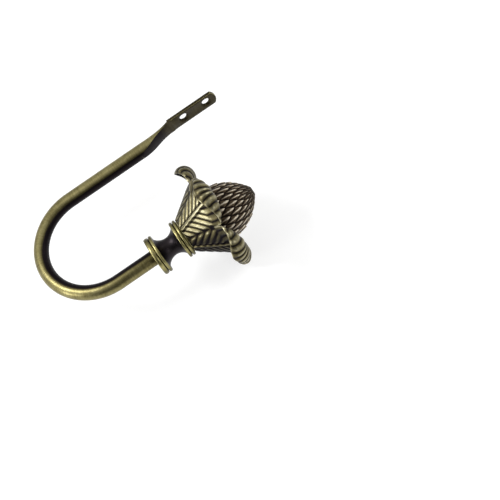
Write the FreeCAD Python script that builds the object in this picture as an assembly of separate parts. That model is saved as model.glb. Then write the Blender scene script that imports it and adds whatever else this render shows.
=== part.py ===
import math
import os

import FreeCAD
import Part

# Curtain holdback: a hook bent from brass tube, with an artichoke finial screwed to its end.
# Millimetres. Origin: middle of the two screw holes, on the face that meets the wall.
# +X runs along the legs to their free ends, +Y points into the wall, +Z is up.

# Hook tube
tube_dia = 10.3
tube_wall = 1.0
bend_radius = 38.0
long_leg = 105.0
short_leg = 28.0

# Pressed fixing tab
tab_spread = 2.3
tab_width = tube_dia + tab_spread
tab_thick = 2.0 * tube_wall
tab_end_margin = 7.8
tab_end_radius = 10.0
hole_spacing = 18.3
hole_dia = 5.2
hole_land = 0.5
countersink_dia = 7.8
tool_room = 5.0
press_start = -56.0
press_end = -14.0
bore_closed = 3.5
spread_start = -45.0
spread_end = -20.0
# Along the spread: share of its run, share of the extra width, squareness of the section
press_steps = [(0.0, 0.0, 2.0), (0.45, 0.03, 2.05), (0.75, 0.4, 2.8), (1.0, 1.0, 8.0)]
section_points = 48

# Spool collar, turned: each rim is two crowned beads with a groove between
rim1_dia = 27.2
rim1_bead_a = 2.8
rim1_bead_b = 2.0
rim2_dia = 26.6
rim2_bead_a = 1.9
rim2_bead_b = 1.8
rim_groove = 0.6
groove_depth = 1.0
bead_crown = 0.45
rim_pitch = 19.0
waist_dia = 13.0
waist_back = 8.8
skirt_drop = 2.9
socket_depth = 3.4

# Fixing inside the collar
plug_wall = 1.65
plug_length = 14.0
stud_in_plug = 10.0
stud_in_finial = 12.0
drill_room = 2.0

# Finial: a bud of scales in a cup of leaves, cast as one
base_radius = 11.7
base_step = 0.95
cup_angle = 36.0
cup_run = 22.0
leaf_count = 5
first_leaf_deg = 98.0
leaf_turn_deg = 72.0
leaf_thick = 2.0
leaf_hood = 4.3
leaf_ribs = 12
rib_height = 0.75
rib_sweep = 13.0
midrib_height = 0.9
bud_radius = 18.4
bud_widest = 27.0
bud_tip = 56.6
bud_floor = 19.5
bud_foot = 1.2
scale_count = 18
scale_rows = 9
scale_first = 6.8
scale_shrink = 0.92
scale_height = 0.95

# Leaf by leaf: neck length, neck angle, curl radius, end angle of the curl, tip length
leaf_forms = [
    (8.6, 30.0, 5.8, 182.0, 2.2),
    (7.3, 30.0, 5.8, 182.0, 3.6),
    (7.3, 30.0, 5.8, 182.0, 3.0),
    (7.3, 30.0, 5.8, 182.0, 3.0),
    (5.2, 30.0, 5.8, 184.0, 2.8),
]

V = FreeCAD.Vector
X_AXIS = V(1, 0, 0)
Y_AXIS = V(0, 1, 0)
Z_AXIS = V(0, 0, 1)

tube_r = tube_dia / 2.0
leg_y = -tube_r
bend_x = -long_leg
bend_y = leg_y - bend_radius
finial_y = leg_y - 2.0 * bend_radius
tab_end = hole_spacing / 2.0 + tab_end_margin

# The collar stands on the tube's end: rim 1, waist, rim 2, then the finial's flat base.
tube_end = bend_x + short_leg + socket_depth
rim1_thick = rim1_bead_a + rim_groove + rim1_bead_b
rim2_thick = rim2_bead_a + rim_groove + rim2_bead_b
rim1_start = bend_x + short_leg
rim1_mid = rim1_start + rim1_thick / 2.0
rim2_mid = rim1_mid + rim_pitch
rim2_end = rim2_mid + rim2_thick / 2.0
bore_r = tube_r - tube_wall
stud_r = bore_r - plug_wall


def round_bar(radius, start, end, y):
    return Part.makeCylinder(radius, end - start, V(start, y, 0), X_AXIS)


def bent_bar(radius):
    """Both straight legs and the half-circle bend between them."""
    ring = Part.Face(Part.Wire(Part.makeCircle(radius, V(bend_x, leg_y, 0), X_AXIS)))
    bend = ring.revolve(V(bend_x, bend_y, 0), Z_AXIS, 180)
    long_bar = round_bar(radius, bend_x, spread_start, leg_y)
    short_bar = round_bar(radius, bend_x, tube_end, finial_y)
    return long_bar.fuse([bend, short_bar]).removeSplitter()


def press_section(x, half_width, power):
    """Section of the tube where the press spreads it, a superellipse as thick as the tube."""
    points = []
    for i in range(section_points):
        a = 2.0 * math.pi * i / section_points
        c = math.cos(a)
        s = math.sin(a)
        y = tube_r * math.copysign(abs(c) ** (2.0 / power), c)
        z = half_width * math.copysign(abs(s) ** (2.0 / power), s)
        points.append(V(x, leg_y + y, z))
    curve = Part.BSplineCurve()
    curve.interpolate(points, PeriodicFlag=True)
    return Part.Wire(curve.toShape())


def press_tool(gap):
    """What the press clears in front of the ramp: an S of two arcs, drawn out along Z.
    The gap holds the tool that far in front of the ramp, or behind it when it is negative."""
    run = (press_end - press_start) / 2.0
    rise = (tube_dia - tab_thick) / 2.0
    radius = (run * run + rise * rise) / (2.0 * rise)
    turn = math.asin(run / radius) / 2.0
    a = V(press_start, -tube_dia - gap, 0)
    b = a + V(run, rise, 0)
    c = b + V(run, rise, 0)
    a1 = a + V(radius * math.sin(turn), radius * (1.0 - math.cos(turn)), 0)
    c1 = c - V(radius * math.sin(turn), radius * (1.0 - math.cos(turn)), 0)
    past = tab_end + tool_room
    deep = -2.0 * tube_dia
    edges = [
        Part.Arc(a, a1, b).toShape(),
        Part.Arc(b, c1, c).toShape(),
        Part.makeLine(c, V(past, c.y, 0)),
        Part.makeLine(V(past, c.y, 0), V(past, deep, 0)),
        Part.makeLine(V(past, deep, 0), V(press_start, deep, 0)),
        Part.makeLine(V(press_start, deep, 0), a),
    ]
    face = Part.Face(Part.Wire(edges))
    face.translate(V(0, 0, -2.0 * tab_width))
    return face.extrude(V(0, 0, 4.0 * tab_width))


def tab_plate():
    """Flat of the tab with its arched end, full height as far as the ramp comes down to it."""
    half = tab_width / 2.0
    drop = tab_end_radius - math.sqrt(tab_end_radius ** 2 - half ** 2)
    back = spread_end - tab_thick / 4.0
    corner_a = V(tab_end - drop, 0, -half)
    corner_b = V(tab_end - drop, 0, half)
    edges = [
        Part.makeLine(V(back, 0, -half), corner_a),
        Part.Arc(corner_a, V(tab_end, 0, 0), corner_b).toShape(),
        Part.makeLine(corner_b, V(back, 0, half)),
        Part.makeLine(V(back, 0, half), V(back, 0, -half)),
    ]
    return Part.Face(Part.Wire(edges)).extrude(V(0, -tube_dia, 0))


def screw_hole(x):
    """Through hole, countersunk from the front."""
    bore = Part.makeCylinder(hole_dia / 2.0, 4.0 * tab_thick, V(x, tab_thick, 0), -Y_AXIS)
    depth = tab_thick - hole_land
    sink = Part.makeCone(hole_dia / 2.0, countersink_dia / 2.0, depth, V(x, -hole_land, 0), -Y_AXIS)
    return bore.fuse(sink)


# Hook: tube outside, then its bore, then the pressed end
sections = []
for along, share, power in press_steps:
    x = spread_start + along * (spread_end - spread_start)
    sections.append(press_section(x, tube_r + share * (tab_width / 2.0 - tube_r), power))
spread = Part.makeLoft(sections, True)
outside = bent_bar(tube_r).fuse([spread, tab_plate()], 0.002)
outside = outside.cut(press_tool(0.0))
bore_end = round_bar(bore_r, spread_start, press_end - bore_closed, leg_y)
bore = bent_bar(bore_r).fuse(bore_end).cut(press_tool(-tube_wall))
hook = outside.cut(bore)
for x in (-hole_spacing / 2.0, hole_spacing / 2.0):
    hook = hook.cut(screw_hole(x))

# Plug pressed into the tube's open end and tapped for the stud
plug_start = tube_end - plug_length
plug = round_bar(bore_r, plug_start, tube_end, finial_y)
plug = plug.cut(round_bar(stud_r, plug_start, tube_end, finial_y))

# Threaded stud from the plug, through the collar, into the finial
stud = round_bar(stud_r, tube_end - stud_in_plug, rim2_end + stud_in_finial, finial_y)
stud = stud.makeChamfer(0.5, stud.Edges)


def bead_arc(start, end, radius):
    low = radius - bead_crown
    return Part.Arc(V(start, low, 0), V((start + end) / 2.0, radius, 0), V(end, low, 0)).toShape()


def rim_profile(start, bead_a, bead_b, radius):
    """Outer line of a turned rim: two crowned beads with a groove between."""
    shoulder = radius - bead_crown
    floor = shoulder - groove_depth
    groove_start = start + bead_a
    groove_end = groove_start + rim_groove
    a = V(groove_start, shoulder, 0)
    b = V(groove_start, floor, 0)
    c = V(groove_end, floor, 0)
    d = V(groove_end, shoulder, 0)
    return [
        bead_arc(start, groove_start, radius),
        Part.makeLine(a, b),
        Part.makeLine(b, c),
        Part.makeLine(c, d),
        bead_arc(groove_end, groove_end + bead_b, radius),
    ]


def waist_arc(start, end, radius_start, radius_end, low_x):
    """Hollow of the waist: two arcs that meet, level, at its thinnest place."""
    edges = []
    low = V(low_x, waist_dia / 2.0, 0)
    for x, r in ((start, radius_start), (end, radius_end)):
        across = x - low_x
        rise = r - low.y
        radius = (across * across + rise * rise) / (2.0 * rise)
        turn = math.asin(min(1.0, abs(across) / radius))
        if rise > radius:
            turn = math.pi - turn
        side = math.copysign(1.0, across)
        mid = low + V(side * radius * math.sin(turn / 2), radius * (1 - math.cos(turn / 2)), 0)
        far = V(x, r, 0)
        arc = Part.Arc(far, mid, low) if across < 0 else Part.Arc(low, mid, far)
        edges.append(arc.toShape())
    return edges


# Spool collar: half profile in the XY plane, spun about the short leg's axis
rim1_end = rim1_start + rim1_thick
rim2_start = rim2_end - rim2_thick
rim1_r = rim1_dia / 2.0
rim2_r = rim2_dia / 2.0
edge1 = rim1_r - bead_crown
edge2 = rim2_r - bead_crown
skirt1 = rim1_r - skirt_drop
skirt2 = rim2_r - skirt_drop
socket_end = rim1_start + socket_depth
clear_r = stud_r + 0.15
outline = [Part.makeLine(V(rim1_start, tube_r, 0), V(rim1_start, edge1, 0))]
outline += rim_profile(rim1_start, rim1_bead_a, rim1_bead_b, rim1_r)
outline += [Part.makeLine(V(rim1_end, edge1, 0), V(rim1_end, skirt1, 0))]
outline += waist_arc(rim1_end, rim2_start, skirt1, skirt2, rim2_mid - waist_back)
outline += [Part.makeLine(V(rim2_start, skirt2, 0), V(rim2_start, edge2, 0))]
outline += rim_profile(rim2_start, rim2_bead_a, rim2_bead_b, rim2_r)
outline += [
    Part.makeLine(V(rim2_end, edge2, 0), V(rim2_end, clear_r, 0)),
    Part.makeLine(V(rim2_end, clear_r, 0), V(socket_end, clear_r, 0)),
    Part.makeLine(V(socket_end, clear_r, 0), V(socket_end, tube_r, 0)),
    Part.makeLine(V(socket_end, tube_r, 0), V(rim1_start, tube_r, 0)),
]
collar = Part.Face(Part.Wire(outline)).revolve(V(0, 0, 0), X_AXIS, 360)
collar.translate(V(0, finial_y, 0))


def on_finial(z, r, deg):
    """Point of the finial: z along its axis from the middle of rim 2, radius, turn about it."""
    a = math.radians(deg)
    return V(rim2_mid + z, finial_y + r * math.cos(a), r * math.sin(a))


def leaf_length(form):
    neck, neck_deg, curl_r, end_deg, tip = form
    return cup_run + neck + curl_r * math.radians(end_deg - neck_deg) + tip


def leaf_line(form, s):
    """Middle line of a leaf at the length s: z, radius and heading, up the cup and over the curl."""
    neck, neck_deg, curl_r, end_deg, tip = form
    z = rim2_thick / 2.0 + base_step
    r = base_radius
    heading = math.radians(cup_angle)
    run = min(s, cup_run)
    z += run * math.cos(heading)
    r += run * math.sin(heading)
    s -= run
    if s <= 0:
        return z, r, heading
    heading = math.radians(neck_deg)
    run = min(s, neck)
    z += run * math.cos(heading)
    r += run * math.sin(heading)
    s -= run
    if s <= 0:
        return z, r, heading
    turn = min(s / curl_r, math.radians(end_deg - neck_deg))
    z += curl_r * (math.sin(heading + turn) - math.sin(heading))
    r += curl_r * (math.cos(heading) - math.cos(heading + turn))
    heading += turn
    s -= turn * curl_r
    return z + s * math.cos(heading), r + s * math.sin(heading), heading


leaf_columns = [0.0, 0.09, 0.36, 0.68, 1.0]
edge = len(leaf_columns) - 1
leaf_rows = 2 * leaf_ribs
floor_run = (bud_floor - rim2_thick / 2.0 - base_step) / math.cos(math.radians(cup_angle))
mean_length = sum(leaf_length(form) for form in leaf_forms) / len(leaf_forms)


def leaf_run(form, row, q):
    """Length along a leaf for a row of its ribs, which sweep forward from the midrib."""
    f = row / float(leaf_rows)
    s = mean_length * f + rib_sweep * q * min(1.0, 6.0 * f) * (1.0 - f ** 3)
    s = min(s, mean_length)
    if s <= cup_run:
        return s
    return cup_run + (s - cup_run) * (leaf_length(form) - cup_run) / (mean_length - cup_run)


def leaf_point(index, side, row, column, inner):
    """Corner of a leaf's skin. Odd rows are the crests of its ribs.
    Inner points lie one thickness in, and stop at the bottom of the gap round the bud."""
    form = leaf_forms[index % len(leaf_forms)]
    q = leaf_columns[column]
    f = row / float(leaf_rows)
    s = leaf_run(form, row, q)
    if inner:
        s = max(s, floor_run)
    free = min(1.0, max(0.0, (s - cup_run) / (leaf_length(form) - cup_run)))
    z, r, heading = leaf_line(form, s)
    half = 180.0 / leaf_count * (1.0 - free ** 3) ** 0.7
    deg = first_leaf_deg + index * leaf_turn_deg + side * half * q
    fade = min(1.0, f * 6.0, (1.0 - f) * 5.0)
    crest = rib_height * fade if row % 2 == 1 and 0 < column < edge else 0.0
    lift = leaf_hood * math.sin(math.pi * free) * q * q
    if inner:
        thick = leaf_thick * (1.0 + 1.1 * free) * (1.0 - 0.9 * free ** 3)
        lift -= thick * (1.0 - 0.45 * q * q * math.sin(math.pi * free))
        lift -= crest * min(1.0, free * 5.0)
    else:
        lift += crest
        if column == 0:
            lift += midrib_height * min(1.0, (1.0 - f) * 4.0)
    return on_finial(z - lift * math.sin(heading), r + lift * math.cos(heading), deg)


def leaf_ring(inner):
    """First row of all the leaves, once round the finial."""
    ring = []
    for index in range(leaf_count):
        for column in range(edge, 0, -1):
            ring.append(leaf_point(index, -1, 0, column, inner))
        for column in range(edge):
            ring.append(leaf_point(index, 1, 0, column, inner))
    return ring


def bud_radius_at(z):
    t = abs(z - bud_widest) / (bud_tip - bud_widest + 0.8)
    return bud_radius * max(0.0, 1.0 - t * t) ** 0.85


def turn_of(p):
    return math.atan2(p.z, p.y - finial_y) % (2.0 * math.pi)


def lace(ring_a, ring_b):
    """Triangles between two rings that need not have the same number of corners."""
    found = []
    a = sorted(ring_a, key=turn_of)
    b = sorted(ring_b, key=turn_of)
    i = 0
    j = 0
    while i < len(a) or j < len(b):
        next_a = turn_of(a[i + 1]) if i + 1 < len(a) else turn_of(a[0]) + 2.0 * math.pi
        next_b = turn_of(b[j + 1]) if j + 1 < len(b) else turn_of(b[0]) + 2.0 * math.pi
        p = a[i % len(a)]
        q = b[j % len(b)]
        if j >= len(b) or (i < len(a) and next_a <= next_b):
            found.append([p, a[(i + 1) % len(a)], q])
            i += 1
        else:
            found.append([p, b[(j + 1) % len(b)], q])
            j += 1
    return found


def quad(a, b, c, d):
    return [[a, b, c], [a, c, d]]


# Leaves: outer skin, inner skin, and the edge between them past the cup
faces = []
for index in range(leaf_count):
    form = leaf_forms[index % len(leaf_forms)]
    for side in (1, -1):
        for row in range(leaf_rows):
            for column in range(edge):
                for inner in (False, True):
                    a = leaf_point(index, side, row, column, inner)
                    b = leaf_point(index, side, row + 1, column, inner)
                    c = leaf_point(index, side, row + 1, column + 1, inner)
                    d = leaf_point(index, side, row, column + 1, inner)
                    faces += quad(a, b, c, d)
            if leaf_run(form, row + 1, 1.0) > cup_run:
                a = leaf_point(index, side, row, edge, False)
                b = leaf_point(index, side, row + 1, edge, False)
                c = leaf_point(index, side, row + 1, edge, True)
                d = leaf_point(index, side, row, edge, True)
                faces += quad(a, b, c, d)

# Foot of the leaves and the flat base
foot = leaf_ring(False)
base = [on_finial(rim2_thick / 2.0, base_radius - 0.4, math.degrees(turn_of(p))) for p in foot]
for i in range(len(foot)):
    k = (i + 1) % len(foot)
    faces += quad(foot[i], foot[k], base[k], base[i])
faces.append(base)

# Bud: a net of diamonds in rings half a scale apart, each raised to a point near its front
rings_z = []
z = bud_floor + bud_foot
step = scale_first
for k in range(scale_rows + 1):
    rings_z.append(z)
    slope = abs(bud_radius_at(z + 0.3) - bud_radius_at(z)) / 0.3
    z += step / math.sqrt(1.0 + slope * slope)
    step *= scale_shrink
squeeze = (bud_tip - 0.8 - rings_z[0]) / (rings_z[-1] - rings_z[0])
rings_z = [rings_z[0] + (z - rings_z[0]) * squeeze for z in rings_z]


def net_corner(k, m):
    z = rings_z[k]
    return on_finial(z, bud_radius_at(z), (m + 0.5 * (k % 2)) * 360.0 / scale_count)


for k in range(scale_rows - 1):
    for m in range(scale_count):
        low = net_corner(k, m)
        high = net_corner(k + 2, m)
        left = net_corner(k + 1, m if k % 2 else m - 1)
        right = net_corner(k + 1, m + 1 if k % 2 else m)
        z = 0.35 * rings_z[k + 1] + 0.65 * rings_z[k + 2]
        size = min(1.0, bud_radius_at(z) / (0.7 * bud_radius))
        deg = (m + 0.5 * (k % 2)) * 360.0 / scale_count
        peak = on_finial(z + 0.4 * size, bud_radius_at(z) + scale_height * size, deg)
        faces += [[low, right, peak], [right, high, peak], [high, left, peak], [left, low, peak]]

lower = [net_corner(k, m) for k in (0, 1) for m in range(scale_count)]
faces += lace(leaf_ring(True), lower)
upper = [net_corner(k, m) for k in (scale_rows - 1, scale_rows) for m in range(scale_count)]
upper.sort(key=turn_of)
tip = on_finial(bud_tip, 0.0, 0.0)
for i in range(len(upper)):
    faces.append([upper[i], upper[(i + 1) % len(upper)], tip])


def flat_face(corners):
    """Face through the corners, or nothing where two of them run together."""
    kept = []
    for p in corners:
        if all(p.distanceToPoint(other) > 1e-6 for other in kept):
            kept.append(p)
    if len(kept) < 3:
        return None
    return Part.Face(Part.makePolygon(kept + [kept[0]]))


skin = Part.makeShell([f for f in map(flat_face, faces) if f])
skin.sewShape()
finial = Part.makeSolid(skin)
if finial.Volume < 0:
    finial.reverse()
tapped = stud_in_finial + drill_room
finial = finial.cut(round_bar(stud_r, rim2_end, rim2_end + tapped, finial_y))

os.makedirs("parts", exist_ok=True)
pieces = {
    "hook_tube": hook,
    "tube_plug": plug,
    "stud": stud,
    "spool_collar": collar,
    "finial": finial,
}
for name, shape in pieces.items():
    shape.exportStep("parts/%s.step" % name)
    print(name, shape.isValid(), len(shape.Solids), len(shape.Faces), round(shape.Volume, 1))
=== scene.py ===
import math

import bmesh
import bpy
import numpy as np
from mathutils import Matrix, Vector


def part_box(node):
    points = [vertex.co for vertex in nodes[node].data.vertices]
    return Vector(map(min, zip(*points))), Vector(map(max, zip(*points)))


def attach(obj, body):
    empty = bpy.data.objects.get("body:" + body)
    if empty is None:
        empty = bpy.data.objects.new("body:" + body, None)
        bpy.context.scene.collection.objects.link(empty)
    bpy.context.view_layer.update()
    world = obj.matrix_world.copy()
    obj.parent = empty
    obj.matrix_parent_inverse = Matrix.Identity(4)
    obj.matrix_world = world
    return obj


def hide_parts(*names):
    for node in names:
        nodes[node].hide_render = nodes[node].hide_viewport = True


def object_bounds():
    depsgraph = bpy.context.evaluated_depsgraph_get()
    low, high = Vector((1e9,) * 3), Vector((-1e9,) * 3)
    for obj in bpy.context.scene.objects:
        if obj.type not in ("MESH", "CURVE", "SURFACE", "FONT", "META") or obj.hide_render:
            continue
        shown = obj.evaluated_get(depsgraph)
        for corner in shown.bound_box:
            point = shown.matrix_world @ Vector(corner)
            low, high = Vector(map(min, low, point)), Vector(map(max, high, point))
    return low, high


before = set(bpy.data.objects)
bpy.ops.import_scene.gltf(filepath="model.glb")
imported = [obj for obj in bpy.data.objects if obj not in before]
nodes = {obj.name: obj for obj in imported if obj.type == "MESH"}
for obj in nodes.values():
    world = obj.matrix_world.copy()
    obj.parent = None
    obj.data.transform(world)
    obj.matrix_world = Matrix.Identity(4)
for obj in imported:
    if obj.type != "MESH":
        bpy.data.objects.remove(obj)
cad_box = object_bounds()
mm = 0.001


# Hook tube: one length of brass tube, bent round, with its end pressed flat and drilled.
# It is plated dark and rubbed back: pale olive outside the bend, brushed round its girth,
# and duller and browner where the press marked the tab. The inside of the bend is painted
# nearly black, and the free leg a little darker, as painted shade.
def linear(hex_colour):
    """sRGB hex to the linear colour that a shader socket takes."""
    channels = [int(hex_colour[i:i + 2], 16) / 255.0 for i in (1, 3, 5)]
    return tuple([c / 12.92 if c <= 0.04045 else ((c + 0.055) / 1.055) ** 2.4 for c in channels] + [1.0])


def add(tree, kind, settings=None, **inputs):
    """Adds a node with its settings, and sets or links its inputs: _0 is input 0."""
    node = tree.nodes.new(kind)
    for name, value in (settings or {}).items():
        setattr(node, name, value)
    for name, value in inputs.items():
        key = int(name[1:]) if name[0] == "_" else name.replace("_", " ")
        if isinstance(value, bpy.types.NodeSocket):
            tree.links.new(value, node.inputs[key])
        else:
            node.inputs[key].default_value = value
    return node


cloud_size = 7 * mm
mark_width = 0.45 * mm
mark_length = 9 * mm
spotted_from = 0.4


def antiqued_brass(name, dark, middle, bright, gloss, blotches, grain_mm, bump_mm):
    """Brass under a dark patina, rubbed bright where the wear_and_painted_shade attribute nears 1,
    and spotted by clouds, grain and brush marks that fade where little is rubbed off. That attribute
    holds the wear, and also painted shade where a piece's code darkens it. The brush attribute is
    the length in metres across the marks, which are drawn coarser than real ones, to show."""
    material = bpy.data.materials.new(name)
    material.use_nodes = True
    tree = material.node_tree
    tree.nodes.clear()
    place = add(tree, "ShaderNodeTexCoord").outputs["Object"]
    wear_and_painted_shade = add(tree, "ShaderNodeAttribute", {"attribute_name": "wear_and_painted_shade"}).outputs["Fac"]
    brush = add(tree, "ShaderNodeAttribute", {"attribute_name": "brush"}).outputs["Fac"]
    clouds = add(tree, "ShaderNodeTexNoise", Vector=place, Scale=1 / cloud_size, Detail=5.0, Roughness=0.65)
    grain = add(tree, "ShaderNodeTexNoise", Vector=place, Scale=1 / (grain_mm * mm), Detail=3.0)
    across = add(tree, "ShaderNodeMath", {"operation": "MULTIPLY"}, _0=brush, _1=1 / mark_width)
    along = add(tree, "ShaderNodeVectorMath", {"operation": "SCALE"}, _0=place, Scale=1 / mark_length)
    stripes = add(tree, "ShaderNodeCombineXYZ", X=across.outputs[0])
    marks_at = add(tree, "ShaderNodeVectorMath", {"operation": "ADD"}, _0=stripes.outputs[0],
                   _1=along.outputs[0])
    marks = add(tree, "ShaderNodeTexNoise", Vector=marks_at.outputs[0], Scale=1.0, Detail=2.0)
    worn = add(tree, "ShaderNodeMapRange", Value=wear_and_painted_shade, From_Max=spotted_from).outputs[0]
    total = wear_and_painted_shade
    for source, size in ((clouds, blotches), (grain, 0.5 * blotches), (marks, 0.65 * blotches)):
        part = add(tree, "ShaderNodeMapRange", Value=source.outputs[0], From_Min=0.3, From_Max=0.7,
                   To_Min=-size, To_Max=size)
        total = add(tree, "ShaderNodeMath", {"operation": "MULTIPLY_ADD"}, _0=part.outputs[0], _1=worn,
                    _2=total).outputs[0]
    ramp = add(tree, "ShaderNodeValToRGB", Fac=total)
    ramp.color_ramp.elements[0].position = 0.05
    ramp.color_ramp.elements[0].color = linear(dark)
    ramp.color_ramp.elements[1].position = 0.95
    ramp.color_ramp.elements[1].color = linear(bright)
    ramp.color_ramp.elements.new(0.5).color = linear(middle)
    rough = add(tree, "ShaderNodeMapRange", Value=total, From_Min=0.1, From_Max=0.9,
                To_Min=gloss + 0.14, To_Max=gloss)
    height = add(tree, "ShaderNodeMath", {"operation": "ADD"}, _0=marks.outputs[0], _1=grain.outputs[0])
    relief = add(tree, "ShaderNodeBump", Strength=1.0, Distance=bump_mm * mm, Height=height.outputs[0])
    shader = add(tree, "ShaderNodeBsdfPrincipled", Base_Color=ramp.outputs[0], Metallic=1.0,
                 Roughness=rough.outputs[0], Normal=relief.outputs[0])
    add(tree, "ShaderNodeOutputMaterial", Surface=shader.outputs[0])
    return material


def finish_piece(tool, name, material, replaced):
    """Turns a bmesh into a smooth piece that stands for the CAD nodes named."""
    for face in tool.faces:
        face.smooth = True
    mesh = bpy.data.meshes.new(name)
    tool.to_mesh(mesh)
    tool.free()
    mesh.materials.append(material)
    piece = bpy.data.objects.new(name, mesh)
    bpy.context.scene.collection.objects.link(piece)
    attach(piece, "root")
    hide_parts(*replaced)
    return piece


def smoothstep(low, high, value):
    t = min(1.0, max(0.0, (value - low) / (high - low)))
    return t * t * (3 - 2 * t)


tube_low, tube_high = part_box("hook_tube")
bend_x = -105 * mm
bend_y = (tube_low[1] + tube_high[1]) / 2
bend_radius = 38 * mm
press_start = -30 * mm
press_fade = 9 * mm
tab_root = -19.9 * mm
tab_front = -1.95 * mm
tab_back = -0.05 * mm
sharp_angle = math.radians(35)
edge_round = 0.25 * mm
crease_round = 0.03 * mm
hole_x = 9.15 * mm
dark_round_hole = 4.5 * mm
outside_wear = 0.60
# How much darker the inside of the bend is painted: painted shade.
inner_painted_shade = 0.56
dark_line_at = 0.2
wall_leg_shift = 0.5
free_leg_shift = 0.2
line_before = 0.16
line_after = 0.14
# How much darker the free leg is painted past the bend: painted shade.
free_leg_painted_shade = 0.12
free_leg_fade = 20 * mm
tab_wear = 0.15
hook_brass = antiqued_brass("antiqued_brushed_brass", "#1c1719", "#6f6742", "#b5ad7c",
                            gloss=0.34, blotches=0.09, grain_mm=0.8, bump_mm=0.006)
tool = bmesh.new()
tool.from_mesh(nodes["hook_tube"].data)
bmesh.ops.remove_doubles(tool, verts=tool.verts, dist=0.002 * mm)

# The tab's edges are rounded and rubbed bright, but not round its holes, and these bright edges
# also stand for the highlight along them: partly painted highlight. Other edges are only eased.
on_tab_faces = {v for v in tool.verts
                if v.co.x > tab_root and (v.co.y < tab_front or v.co.y > tab_back)}
sharp = [e for e in tool.edges
         if on_tab_faces.issuperset(e.verts) and e.calc_face_angle(0) > sharp_angle]
rounded = bmesh.ops.bevel(tool, geom=sharp, offset=edge_round, offset_type="OFFSET", segments=2,
                          profile=0.5, affect="EDGES", material=-1)
round_faces = set(rounded["faces"])
wear_and_painted_shade = tool.verts.layers.float.new("wear_and_painted_shade")
for vert in tool.verts:
    from_hole = math.hypot(abs(vert.co.x) - hole_x, vert.co.z)
    vert[wear_and_painted_shade] = float(from_hole > dark_round_hole and round_faces.issuperset(vert.link_faces))
creases = [e for e in tool.edges
           if not round_faces.issuperset(e.link_faces) and e.calc_face_angle(0) > sharp_angle]
bmesh.ops.bevel(tool, geom=creases, offset=crease_round, offset_type="OFFSET", segments=2, profile=0.5,
                affect="EDGES", material=-1, clamp_overlap=True)
tool.normal_update()
brush = tool.verts.layers.float.new("brush")
wear_and_painted_shade = tool.verts.layers.float["wear_and_painted_shade"]
for vert in tool.verts:
    inward = Vector((max(0.0, bend_x - vert.co.x), bend_y - vert.co.y, 0)).normalized()
    facing = vert.normal.dot(inward)
    pressed = smoothstep(press_start, press_start + press_fade, vert.co.x)
    # Painted shade: where the tube faces into the bend it is painted dark, the line sitting at a different
    # place on each leg, and the free leg is painted a little darker past the bend.
    dark_line = dark_line_at + wall_leg_shift * max(0.0, -inward.y) - free_leg_shift * max(0.0, inward.y)
    plain = outside_wear - inner_painted_shade * smoothstep(dark_line - line_before, dark_line + line_after, facing)
    if vert.co.y < bend_y:
        plain -= free_leg_painted_shade * smoothstep(bend_x, bend_x + free_leg_fade, vert.co.x)
    vert[wear_and_painted_shade] = max(vert[wear_and_painted_shade], plain * (1 - pressed) + tab_wear * pressed)
    if vert.co.x > bend_x:
        vert[brush] = vert.co.x
    else:
        turn = math.atan2(bend_x - vert.co.x, abs(vert.co.y - bend_y))
        vert[brush] = bend_x - turn * bend_radius
finish_piece(tool, "hook_brushed_tube", hook_brass, ["hook_tube"])


# Spool collar: turned on a lathe, two rims of paired beads and a hollow waist between them.
# The beads are rubbed back to bright brass and the waist keeps its satin black. The beads are
# painted darker on the side turned away from the lit side, as painted shade.
axis_y = sum(corner[1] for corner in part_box("spool_collar")) / 2
collar_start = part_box("spool_collar")[0][0]
rim2_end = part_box("spool_collar")[1][0]
rim1_r = 13.6
rim1_beads = (2.8, 2.0)
rim2_r = 13.3
rim2_beads = (1.9, 1.8)
rim_groove = 0.6
rim1_thick = sum(rim1_beads) + rim_groove
rim2_thick = sum(rim2_beads) + rim_groove
groove_depth = 1.0
groove_slope = 0.08
bead_crown = 0.45
bead_steps = 8
skirt_drop = 2.9
waist_r = 6.5
waist_x = -64.1
waist_steps = 14
tube_bore_r = 5.2
stud_bore_r = 3.0
waist_wear = 0.06
rim_wear = 0.68
far_side_painted_shade = 0.34
lit_side = math.radians(122)
lit_within = math.radians(30)
unlit_past = math.radians(75)
rub_starts = 1.3
rub_full = 0.5


def crowned_bead(start, end, radius):
    """Profile of one bead: a low arch between its two shoulders, in millimetres."""
    found = []
    for i in range(bead_steps + 1):
        t = 2.0 * i / bead_steps - 1.0
        found.append((start + (end - start) * i / bead_steps, radius - bead_crown * abs(t) ** 3))
    return found


def turned_rim(start, beads, radius):
    """Profile of one rim: two beads with a groove cut between them."""
    groove = start + beads[0]
    floor = radius - bead_crown - groove_depth
    second = groove + rim_groove
    return (crowned_bead(start, groove, radius)
            + [(groove + groove_slope, floor), (second - groove_slope, floor)]
            + crowned_bead(second, second + beads[1], radius))


rim1_start = collar_start / mm
rim2_start = rim2_end / mm - rim2_thick
profile = [(rim1_start, tube_bore_r)] + turned_rim(rim1_start, rim1_beads, rim1_r)
for end_x, end_r in ((rim1_start + rim1_thick, rim1_r - skirt_drop), (rim2_start, rim2_r - skirt_drop)):
    side = []
    span = end_x - waist_x
    rise = end_r - waist_r
    arc_r = (span * span + rise * rise) / (2 * rise)
    turn = math.atan2(span, arc_r - rise)
    for i in range(waist_steps + 1):
        a = turn * i / waist_steps
        side.append((waist_x + arc_r * math.sin(a), waist_r + arc_r * (1 - math.cos(a))))
    profile += side[::-1] if span < 0 else side[1:]
profile += turned_rim(rim2_start, rim2_beads, rim2_r) + [(rim2_end / mm, stud_bore_r)]
collar_brass = antiqued_brass("rubbed_brass_over_satin_black", "#2b272b", "#6b6541", "#bdb47c",
                              gloss=0.30, blotches=0.07, grain_mm=0.7, bump_mm=0.004)
tool = bmesh.new()
line = [tool.verts.new((x * mm, axis_y + r * mm, 0)) for x, r in profile]
edges = [tool.edges.new(pair) for pair in zip(line, line[1:])]
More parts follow.
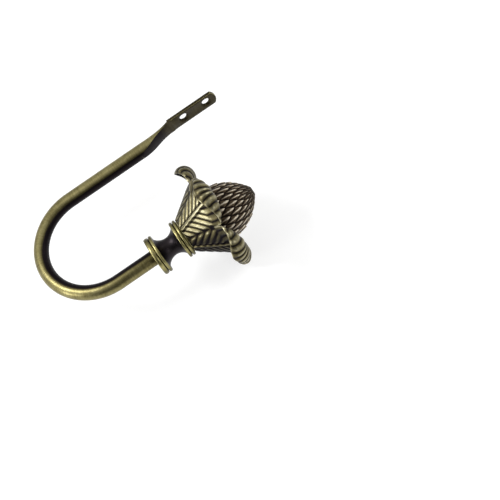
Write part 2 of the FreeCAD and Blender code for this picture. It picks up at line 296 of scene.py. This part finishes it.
bmesh.ops.spin(tool, geom=line + edges, cent=(0, axis_y, 0), axis=(1, 0, 0), angle=2 * math.pi, steps=120,
               use_merge=True)
bmesh.ops.remove_doubles(tool, verts=tool.verts, dist=0.005 * mm)
bmesh.ops.recalc_face_normals(tool, faces=tool.faces)
wear_and_painted_shade = tool.verts.layers.float.new("wear_and_painted_shade")
brush = tool.verts.layers.float.new("brush")
for vert in tool.verts:
    out = math.hypot(vert.co.y - axis_y, vert.co.z) / mm
    round_axis = math.atan2(vert.co.z, vert.co.y - axis_y)
    turned_away = abs(math.remainder(round_axis - lit_side, 2 * math.pi))
    # Painted shade: the beads are less bright where they turn away from the lit side.
    rim_wear_and_painted_shade = rim_wear - far_side_painted_shade * smoothstep(lit_within, unlit_past, turned_away)
    vert[wear_and_painted_shade] = waist_wear + rim_wear_and_painted_shade * smoothstep(rim2_r - rub_starts, rim2_r - rub_full, out)
    vert[brush] = vert.co.x
finish_piece(tool, "collar_turned_spool", collar_brass, ["spool_collar"])


# Finial: five leaves and a bud of scales cast as one, plated dark and rubbed over its relief.
# Each leaf runs up the cup and turns over in a broad lip; its ribs sweep forward from a raised
# midrib and end in the teeth of its margin.
rim2_mid = rim2_end / mm - rim2_thick / 2
base_z = 3.1
base_radius = 11.7
cup_angle = math.radians(36)
cup_run = 22.0
first_leaf_deg = 98.0
leaf_half_deg = 36.0
leaf_hood = 4.3
leaf_thick = 2.0
rib_pitch = 4.4
rib_slant = 0.84
rib_height = 0.85
rib_level = 0.4
rib_clear = 2.2
rib_tip_fade = 4.0
midrib_height = 0.85
midrib_half = 1.25
midrib_taper = 0.6
midrib_tip_fade = 9.0
groove_at = 1.9
groove_half = 0.5
groove_deep = 0.3
lip_from = 24.0
lip_blend = 8.0
lip_rib_share = 0.3
lip_rib_level = 0.62
lip_crease = 0.35
crease_half = 0.8
teeth_from = 0.75
tooth_depth = 0.05
# Each leaf's lip is painted darker, leaf by leaf, to keep the lamps' highlights off it: painted shade.
lip_painted_shade = (0.28, 0.27, 0.27, 0.27, 0.36)
margin_from = 0.82
margin_dull = 0.25
flank_painted_shade = 0.54

# Of each leaf: length and slope of its neck, radius of its curl and where it ends, length of its tip
leaf_forms = [
    (8.6, 30.0, 5.8, 182.0, 2.2),
    (7.3, 30.0, 5.8, 182.0, 3.6),
    (7.3, 30.0, 5.8, 182.0, 3.0),
    (7.3, 30.0, 5.8, 182.0, 3.0),
    (5.2, 30.0, 5.8, 184.0, 2.8),
]
leaf_turn_deg = 360.0 / len(leaf_forms)


def on_finial(z, r, deg):
    """Point at a length along the finial's axis, a radius and a turn about it."""
    a = math.radians(deg)
    return Vector(((rim2_mid + z) * mm, axis_y + r * math.cos(a) * mm, r * math.sin(a) * mm))


def leaf_length(form):
    neck, neck_deg, curl_r, end_deg, tip = form
    return cup_run + neck + curl_r * math.radians(end_deg - neck_deg) + tip


def leaf_line(form, s):
    """Middle line of a leaf at the length s: z, radius and heading."""
    neck, neck_deg, curl_r, end_deg, tip = form
    heading = cup_angle
    run = min(s, cup_run)
    z = base_z + run * math.cos(heading)
    r = base_radius + run * math.sin(heading)
    s -= run
    if s <= 0:
        return z, r, heading
    heading = math.radians(neck_deg)
    run = min(s, neck)
    z += run * math.cos(heading)
    r += run * math.sin(heading)
    s -= run
    turn = min(s / curl_r, math.radians(end_deg - neck_deg))
    z += curl_r * (math.sin(heading + turn) - math.sin(heading))
    r += curl_r * (math.cos(heading) - math.cos(heading + turn))
    heading += turn
    s -= turn * curl_r
    return z + s * math.cos(heading), r + s * math.sin(heading), heading


def ridge(phase):
    """Broad rounded ridges with a narrow valley at each whole number."""
    return abs(math.sin(math.pi * phase)) ** 0.7


# The side of the finial that faces the lamps; the cup is painted darker where it turns from it: painted
# shade.
finial_lit_side = (0.0, -0.087, 0.996)
lit_above = 0.68
shade_band = 0.28
spread = 0.6


def rubbed(tool, rounds, depth, middle):
    """Sets each point's wear_and_painted_shade value by how far it stands above its surroundings.
    The dull layer takes away from it, and so does the flank_shade layer where the surface turns
    from the lit side; both are partly painted shade."""
    tool.normal_update()
    tool.verts.index_update()
    points = np.array([v.co[:] for v in tool.verts])
    normals = np.array([v.normal[:] for v in tool.verts])
    pairs = np.array([[e.verts[0].index, e.verts[1].index] for e in tool.edges])
    count = np.bincount(pairs.ravel(), minlength=len(points))[:, None]
    smooth = np.hstack((points, normals))
    for _ in range(rounds):
        total = np.zeros_like(smooth)
        for axis in range(6):
            total[:, axis] = (np.bincount(pairs[:, 0], smooth[pairs[:, 1], axis], len(points))
                              + np.bincount(pairs[:, 1], smooth[pairs[:, 0], axis], len(points)))
        smooth += spread * (total / count - smooth)
    stands = ((points - smooth[:, :3]) * normals).sum(axis=1)
    turned = smooth[:, 3:] / np.linalg.norm(smooth[:, 3:], axis=1, keepdims=True)
    held_back = np.zeros(len(points))
    # Painted shade on the cup's flanks turned from the lit side.
    shade_share = np.clip((lit_above - turned @ np.array(finial_lit_side)) / shade_band, 0.0, 1.0)
    for layer_name, share in (("dull", np.ones(len(points))), ("flank_shade", shade_share)):
        layer = tool.verts.layers.float.get(layer_name)
        if layer:
            held_back += share * np.array([v[layer] for v in tool.verts])
    values = np.clip(middle + stands / depth - held_back, 0.0, 1.0)
    wear_and_painted_shade = tool.verts.layers.float.new("wear_and_painted_shade")
    brush = tool.verts.layers.float.new("brush")
    for vert, value in zip(tool.verts, values):
        vert[wear_and_painted_shade] = value
        vert[brush] = vert.co.x


mean_length = sum(leaf_length(form) for form in leaf_forms) / len(leaf_forms)
cast_brass = antiqued_brass("antiqued_cast_brass", "#151114", "#655e42", "#c9c2a0",
                            gloss=0.36, blotches=0.07, grain_mm=0.9, bump_mm=0.008)
tool = bmesh.new()
tool.verts.layers.float.new("dull")
tool.verts.layers.float.new("flank_shade")
dull = tool.verts.layers.float["dull"]
flank_shade = tool.verts.layers.float["flank_shade"]
for index, form in enumerate(leaf_forms):
    total = leaf_length(form)
    for inner in (False, True):
        grid = bmesh.ops.create_grid(tool, x_segments=64, y_segments=112, size=1.0)
        for vert in grid["verts"]:
            q = abs(vert.co.x)
            side = math.copysign(1.0, vert.co.x)
            s = (vert.co.y + 1) / 2 * mean_length
            if s > cup_run:
                s = cup_run + (s - cup_run) * (total - cup_run) / (mean_length - cup_run)
            free = min(1.0, max(0.0, (s - cup_run) / (total - cup_run)))
            z, r, heading = leaf_line(form, s)
            half = leaf_half_deg * (1 - free ** 3) ** 0.7
            width = q * math.radians(half) * r
            reach = s if s < lip_from else lip_from + (s - lip_from) * lip_rib_share
            rib = ridge((reach - rib_slant * width) / rib_pitch)
            edge_in = min(1.0, (1 - q) * 7)
            lip = smoothstep(cup_run, cup_run + lip_blend, s)
            half *= 1 - tooth_depth * (1 - rib) * smoothstep(teeth_from, 1.0, q) * lip
            fade = smoothstep(0.0, rib_clear, width) * min(1.0, (total - s) / rib_tip_fade)
            fade *= 0.35 + 0.65 * edge_in
            spine = math.exp(-((width / (midrib_half - midrib_taper * s / total)) ** 4))
            spine *= min(1.0, (total - s) / midrib_tip_fade)
            groove = math.exp(-(((width - groove_at) / groove_half) ** 2)) * (1 - lip)
            lift = leaf_hood * math.sin(math.pi * free) * q * q
            if inner:
                thick = leaf_thick * (1 + 1.1 * free) * (1 - 0.9 * free ** 3)
                thick *= 1 - 0.45 * q * q * math.sin(math.pi * free)
                rim_off = smoothstep(cup_run - 1.5, cup_run + 1.5, s)
                thick *= math.sqrt(max(0.0, 1 - rim_off * q ** 8))
                thick *= math.sqrt(max(0.0, 1 - (s / total) ** 30)) * min(1.0, s / 0.5)
                crease = lip_crease * math.exp(-((width / crease_half) ** 2))
                ribs = rib_height * (rib - lip_rib_level) * fade
                lift -= thick + (ribs - crease) * lip * edge_in
            else:
                lift += rib_height * (rib - rib_level) * fade * edge_in
                lift += midrib_height * spine - groove_deep * groove
            # Painted shade on the lips; the cup's margins are also darker where the leaves meet.
            vert[dull] = lip_painted_shade[index] * lip + margin_dull * smoothstep(margin_from, 1.0, q) * (1 - lip)
            # Painted shade on the cup where it turns from the lit side.
            vert[flank_shade] = flank_painted_shade * (1 - lip)
            vert.co = on_finial(z - lift * math.sin(heading), r + lift * math.cos(heading),
                                first_leaf_deg + index * leaf_turn_deg + side * half * q)
bmesh.ops.remove_doubles(tool, verts=tool.verts, dist=0.008 * mm)
bmesh.ops.recalc_face_normals(tool, faces=tool.faces)

# The foot of the cup, which sits on the collar and closes the leaves from below
foot_z = rim2_thick / 2
foot_line = ((foot_z, stud_bore_r), (foot_z, 11.3), (base_z, base_radius), (4.2, 11.0))
foot = [tool.verts.new(on_finial(z, r, 0)) for z, r in foot_line]
edges = [tool.edges.new(pair) for pair in zip(foot, foot[1:])]
bmesh.ops.spin(tool, geom=foot + edges, cent=(0, axis_y, 0), axis=(1, 0, 0), angle=2 * math.pi, steps=96,
               use_merge=True)
bmesh.ops.recalc_face_normals(tool, faces=tool.faces)
rubbed(tool, rounds=14, depth=0.58 * mm, middle=0.44)
finish_piece(tool, "finial_ribbed_leaves", cast_brass, ["finial"])

# The bud, whose scales lie over each other like tiles, each with a keel down its middle
bud_radius = 18.4
bud_widest = 27.0
bud_tip = 56.6
bud_tip_room = 0.8
bud_floor = 19.5
bud_foot = 1.2
scale_count = 18
scale_rows = 9
scale_first = 6.8
scale_shrink = 0.92
scale_long = 2.2
scale_wide = 1.08
scale_foot = 0.10
scale_rise = 0.62
scale_keel = 0.5
scale_height = 1.35
scale_sink = 0.35
scale_lean = 0.6
full_size_radius = 0.7 * bud_radius


def bud_radius_at(z):
    t = abs(z - bud_widest) / (bud_tip - bud_widest + bud_tip_room)
    return bud_radius * max(0.0, 1.0 - t * t) ** 0.85


rings_z = []
z = bud_floor + bud_foot
step = scale_first
for k in range(scale_rows + 1):
    rings_z.append(z)
    slope = abs(bud_radius_at(z + 0.3) - bud_radius_at(z)) / 0.3
    z += step / math.sqrt(1.0 + slope * slope)
    step *= scale_shrink
squeeze = (bud_tip - bud_tip_room - rings_z[0]) / (rings_z[-1] - rings_z[0])
rings_z = [rings_z[0] + (z - rings_z[0]) * squeeze for z in rings_z]


def topmost_scale(w, c):
    """Height of the highest scale over the place w rings up and c scales round."""
    best = 0.0
    for root in range(int(w) - 2, int(w) + 1):
        t = (w - root) / scale_long
        if t <= 0 or t >= 1:
            continue
        x = (c - 0.5 * (root % 2)) % 1.0
        x = 2 * min(x, 1.0 - x)
        width = scale_wide * min(1.0, (0.3 + t) * 1.6) * min(1.0, ((1 - t) * 1.9)) ** 0.8
        if x >= width:
            continue
        keel = 1 - x / width
        height = scale_foot + scale_rise * t + scale_keel * keel * (0.35 + 0.65 * t)
        height -= 0.15 * keel * (1 - keel)
        best = max(best, height * min(1.0, keel * 9))
    return best


tool = bmesh.new()
grid = bmesh.ops.create_grid(tool, x_segments=scale_count * 16, y_segments=200, size=1.0)
for vert in grid["verts"]:
    c = (vert.co.x + 1) / 2 * scale_count
    w = (vert.co.y + 1) / 2 * scale_rows
    k = min(scale_rows - 1, int(w))
    z = rings_z[k] + (rings_z[k + 1] - rings_z[k]) * (w - k)
    r = bud_radius_at(z)
    size = min(1.0, r / full_size_radius)
    h = topmost_scale(w, c)
    vert.co = on_finial(z + scale_lean * h * size, r - scale_sink + scale_height * h * size,
                        c * 360.0 / scale_count)
bmesh.ops.remove_doubles(tool, verts=tool.verts, dist=0.008 * mm)
bmesh.ops.holes_fill(tool, edges=[e for e in tool.edges if e.is_boundary], sides=0)
bmesh.ops.recalc_face_normals(tool, faces=tool.faces)
rubbed(tool, rounds=14, depth=0.22 * mm, middle=0.20)

# The scales are browner than the leaves in their hollows and more silvery on their keels
bud_brass = antiqued_brass("antiqued_cast_brass_scales", "#140f0e", "#554838", "#d6cbb6",
                           gloss=0.34, blotches=0.10, grain_mm=1.6, bump_mm=0.008)
finish_piece(tool, "finial_bud", bud_brass, ["finial"])


# Fixing inside the collar: a turned brass plug pressed into the tube's end, and the zinc-plated
# stud screwed into it, which the collar and the finial thread onto. Neither shows.
speck_size = 0.6 * mm
inner_metals = (("tube_plug", "turned_brass", "#b8975a"), ("stud", "zinc_plated_steel", "#a9a9a6"))
for node, name, colour in inner_metals:
    plain = bpy.data.materials.new(name)
    plain.use_nodes = True
    tree = plain.node_tree
    tree.nodes.clear()
    place = add(tree, "ShaderNodeTexCoord").outputs["Object"]
    speck = add(tree, "ShaderNodeTexNoise", Vector=place, Scale=1 / speck_size, Detail=3.0)
    rough = add(tree, "ShaderNodeMapRange", Value=speck.outputs[0], To_Min=0.28, To_Max=0.48)
    shader = add(tree, "ShaderNodeBsdfPrincipled", Base_Color=linear(colour), Metallic=1.0,
                 Roughness=rough.outputs[0])
    add(tree, "ShaderNodeOutputMaterial", Surface=shader.outputs[0])
    nodes[node].data.materials.clear()
    nodes[node].data.materials.append(plain)


# Floor: a white paper sweep. It shows as white to the camera and in the metal, less the soft
# shadow of the holdback.
floor_half = 4.0
floor_gap = 0.5 * mm
floor_glow = 0.72
paper = bpy.data.materials.new("white_paper")
paper.use_nodes = True
tree = paper.node_tree
tree.nodes.clear()
rays = add(tree, "ShaderNodeLightPath").outputs
seen = add(tree, "ShaderNodeMath", {"operation": "MAXIMUM"}, _0=rays["Is Camera Ray"],
           _1=rays["Is Glossy Ray"])
seen = add(tree, "ShaderNodeMath", {"operation": "MAXIMUM"}, _0=seen.outputs[0],
           _1=rays["Is Transmission Ray"])
matte = add(tree, "ShaderNodeBsdfDiffuse", Color=linear("#a6a6a6"))
glow = add(tree, "ShaderNodeMath", {"operation": "MULTIPLY"}, _0=seen.outputs[0], _1=floor_glow)
lit = add(tree, "ShaderNodeEmission", Color=(1, 1, 1, 1), Strength=glow.outputs[0])
both = add(tree, "ShaderNodeAddShader", _0=matte.outputs[0], _1=lit.outputs[0])
add(tree, "ShaderNodeOutputMaterial", Surface=both.outputs[0])
tool = bmesh.new()
bmesh.ops.create_grid(tool, x_segments=1, y_segments=1, size=floor_half)
bmesh.ops.translate(tool, verts=tool.verts, vec=(0, 0, cad_box[0][2] - floor_gap))
mesh = bpy.data.meshes.new("paper_floor")
tool.to_mesh(mesh)
tool.free()
mesh.materials.append(paper)
floor = bpy.data.objects.new("paper_floor", mesh)
bpy.context.scene.collection.objects.link(floor)


# Studio: a room that is pale overhead and behind, and dim low in front, and four soft boxes: the
# key from the upper left, and weaker ones from the left, the front right and the finial's end.
pale_side = Vector((-0.18, 0.62, 0.76)).normalized()
room_dim = 0.06
room_pale = 0.80
world = bpy.data.worlds.new("studio_room")
bpy.context.scene.world = world
world.use_nodes = True
tree = world.node_tree
tree.nodes.clear()
look = add(tree, "ShaderNodeTexCoord").outputs["Generated"]
lean = add(tree, "ShaderNodeVectorMath", {"operation": "DOT_PRODUCT"}, _0=look, _1=pale_side)
room = add(tree, "ShaderNodeMapRange", {"interpolation_type": "SMOOTHSTEP"}, Value=lean.outputs["Value"],
           From_Min=0.05, From_Max=0.95, To_Min=room_dim, To_Max=room_pale)
rays = add(tree, "ShaderNodeLightPath").outputs
white = add(tree, "ShaderNodeMix", Factor=rays["Is Camera Ray"], _2=room.outputs[0], _3=1.0)
sky = add(tree, "ShaderNodeBackground", Color=(1, 1, 1, 1), Strength=white.outputs[0])
add(tree, "ShaderNodeOutputWorld", Surface=sky.outputs[0])


def soft_box(name, place, aim, size, power):
    """A square area lamp at a place in metres, turned to its aim."""
    lamp = bpy.data.lights.new(name, "AREA")
    lamp.size = size
    lamp.energy = power
    thing = bpy.data.objects.new(name, lamp)
    thing.location = place
    thing.rotation_euler = (Vector(aim) - Vector(place)).to_track_quat("-Z", "Y").to_euler()
    bpy.context.scene.collection.objects.link(thing)


middle_of_part = (-0.07, -0.045, 0.0)
soft_box("key_box", (-0.56, 0.16, 0.73), middle_of_part, 0.30, 5.0)
soft_box("left_box", (-0.80, -0.18, 0.24), middle_of_part, 0.30, 2.2)
soft_box("right_box", (0.34, -0.63, 0.36), middle_of_part, 0.35, 1.0)
soft_box("end_box", (0.75, 0.05, 0.45), middle_of_part, 0.50, 2.2)


# Camera: where the photograph was taken from, with its lens and its roll.
focal_px = 1400.0
picture_px = 500.0
sensor_mm = 36.0
camera_data = bpy.data.cameras.new("camera")
camera_data.sensor_width = sensor_mm
camera_data.lens = focal_px / picture_px * sensor_mm
camera = bpy.data.objects.new("camera", camera_data)
right = Vector((0.82536, -0.48909, -0.28208))
up = Vector((0.5646, 0.71615, 0.41031))
turn = Matrix((right, up, right.cross(up))).transposed().to_4x4()
camera.matrix_world = Matrix.Translation((-0.02169, -0.56328, 0.77718)) @ turn
bpy.context.scene.collection.objects.link(camera)
bpy.context.scene.camera = camera
bpy.context.scene.view_settings.view_transform = "Standard"
